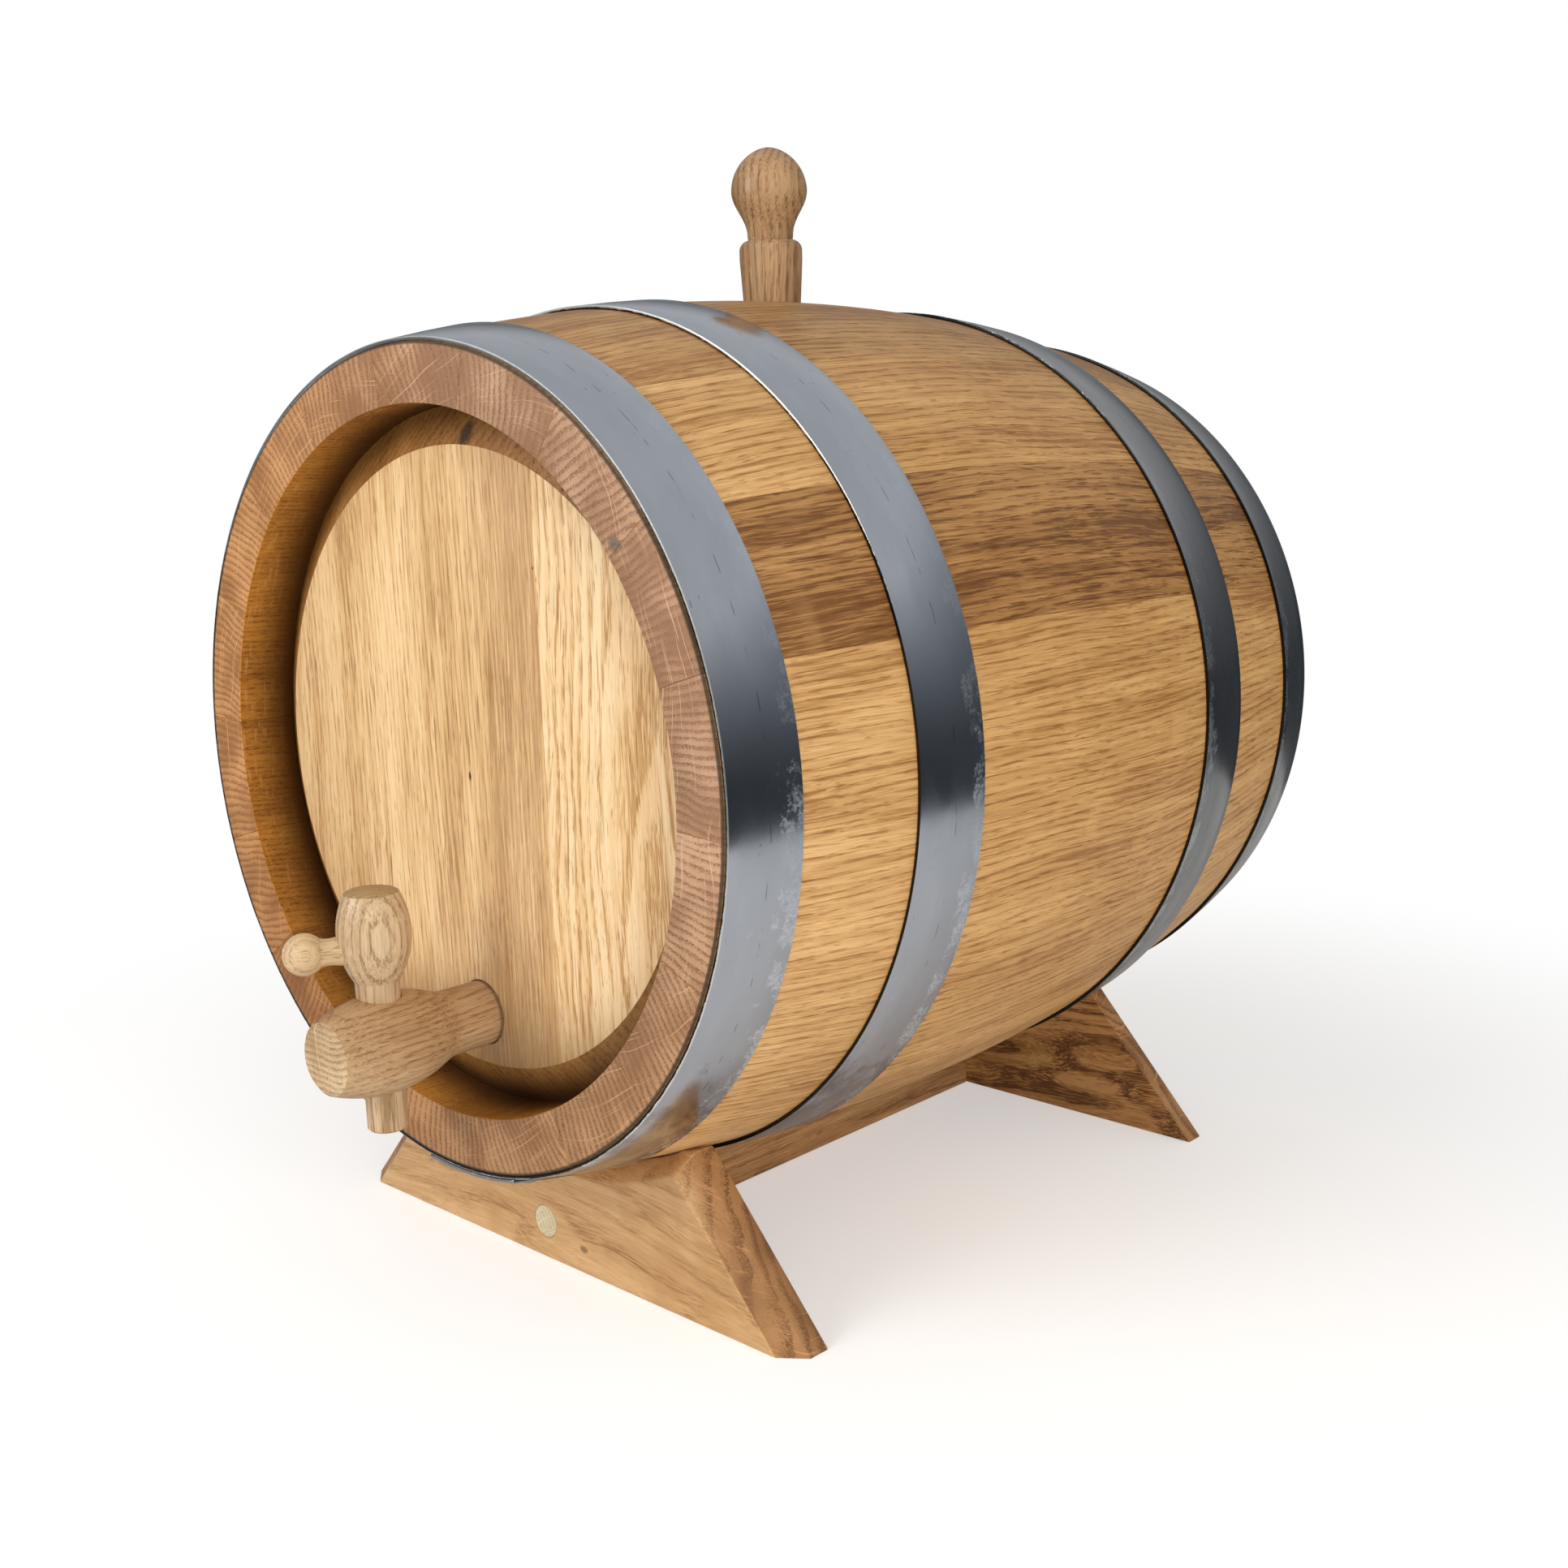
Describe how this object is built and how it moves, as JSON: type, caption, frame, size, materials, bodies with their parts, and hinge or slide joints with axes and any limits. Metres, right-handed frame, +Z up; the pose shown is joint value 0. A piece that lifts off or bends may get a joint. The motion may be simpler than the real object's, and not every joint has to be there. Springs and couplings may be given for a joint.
{
  "type": "oak cask liquor dispenser",
  "caption": "Small oak cask on a cradle, with a turned bung on top and a turned wooden spigot low in the front head.",
  "frame": {"origin": "on the floor under the middle of the cask, on the underside of the cradle's rail", "axes": "+Z up; the cask lies along Y with the spigot at -Y; +X is to the right of someone who faces the spigot and looks along +Y"},
  "size_m": [0.2188, 0.2746, 0.282],
  "materials": {
    "stave_oak": "sanded",
    "dark_stave_oak": "sanded",
    "head_oak": "sanded",
    "bung_oak": "turned",
    "spigot_oak": "turned",
    "peg_oak": "turned",
    "cradle_oak": "sanded",
    "dowel_beech": "sanded",
    "hoop_steel": "galvanised",
    "rivet_steel": "galvanised"
  },
  "bodies": {
    "cradle": {"front_board": "cradle_oak", "rear_board": "cradle_oak", "rail": "cradle_oak", "rail_dowels": "dowel_beech"},
    "cask": {"stave_01": "stave_oak", "stave_02": "stave_oak", "stave_03": "stave_oak", "stave_04": "dark_stave_oak", "stave_05": "stave_oak", "stave_06": "stave_oak", "stave_07": "stave_oak", "stave_08": "stave_oak", "stave_09": "stave_oak", "stave_10": "stave_oak", "stave_11": "stave_oak", "stave_12": "stave_oak", "stave_13": "stave_oak", "stave_14": "stave_oak", "stave_15": "stave_oak", "stave_16": "stave_oak", "stave_17": "stave_oak", "stave_18": "stave_oak", "front_head_left": "head_oak", "front_head_middle": "head_oak", "front_head_right": "head_oak", "rear_head_left": "head_oak", "rear_head_middle": "head_oak", "rear_head_right": "head_oak", "front_head_hoop": "hoop_steel", "front_quarter_hoop": "hoop_steel", "rear_quarter_hoop": "hoop_steel", "rear_head_hoop": "hoop_steel", "hoop_rivets": "rivet_steel", "spigot_body": "spigot_oak"},
    "bung": {"bung": "bung_oak"},
    "spigot_key": {"spigot_key": "spigot_oak", "key_peg": "peg_oak"}
  },
  "joints": [
    {"name": "cask_lift", "type": "slide", "parent": "cradle", "child": "cask", "axis": [0, 0, 1], "range_m": [0, 0.12]},
    {"name": "bung_lift", "type": "slide", "parent": "cask", "child": "bung", "axis": [0, 0, 1], "range_m": [0, 0.03]},
    {"name": "key_turn", "type": "hinge", "parent": "cask", "child": "spigot_key", "pos_m": [0, -0.137, 0.071], "axis": [0, 0, 1], "continuous": true}
  ]
}
